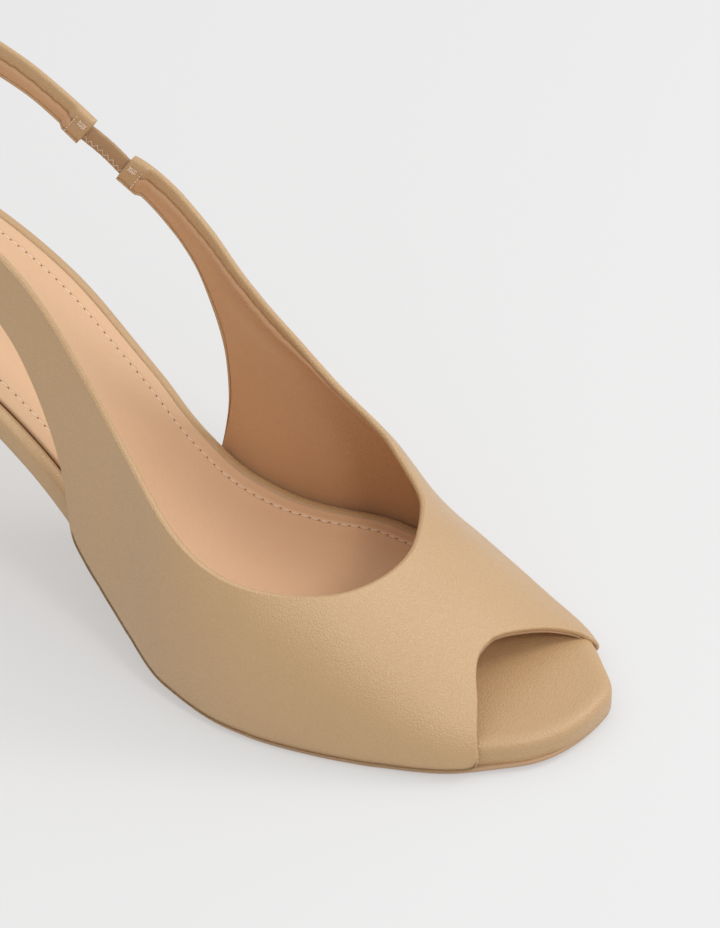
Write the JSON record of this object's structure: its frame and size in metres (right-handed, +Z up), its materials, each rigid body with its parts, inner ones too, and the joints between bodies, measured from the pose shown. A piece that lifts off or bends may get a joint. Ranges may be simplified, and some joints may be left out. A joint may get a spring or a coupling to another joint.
{
  "type": "slingback sandal",
  "caption": "Right peep-toe slingback sandal with a plain block heel, a padded insole and a back strap joined by a short elastic.",
  "frame": {"origin": "point of the tread under the ball of the foot, on the floor", "axes": "+X to the toe, +Y to the inner side of the foot, +Z up"},
  "size_m": [0.2226, 0.0827, 0.1325],
  "materials": {
    "upper": "smooth sand leather with a fine grain",
    "insole": "sand leather wrap",
    "sock": "smooth pink tan lining",
    "outsole": "thin tan sole",
    "elastic_gore": "leather faced elastic",
    "heel": "leather covered",
    "top_lift": "matt"
  },
  "bodies": {
    "root": {"upper": "upper", "insole": "insole", "sock": "sock", "outsole": "outsole", "elastic_gore": "elastic_gore", "heel": "heel", "top_lift": "top_lift"}
  },
  "joints": []
}
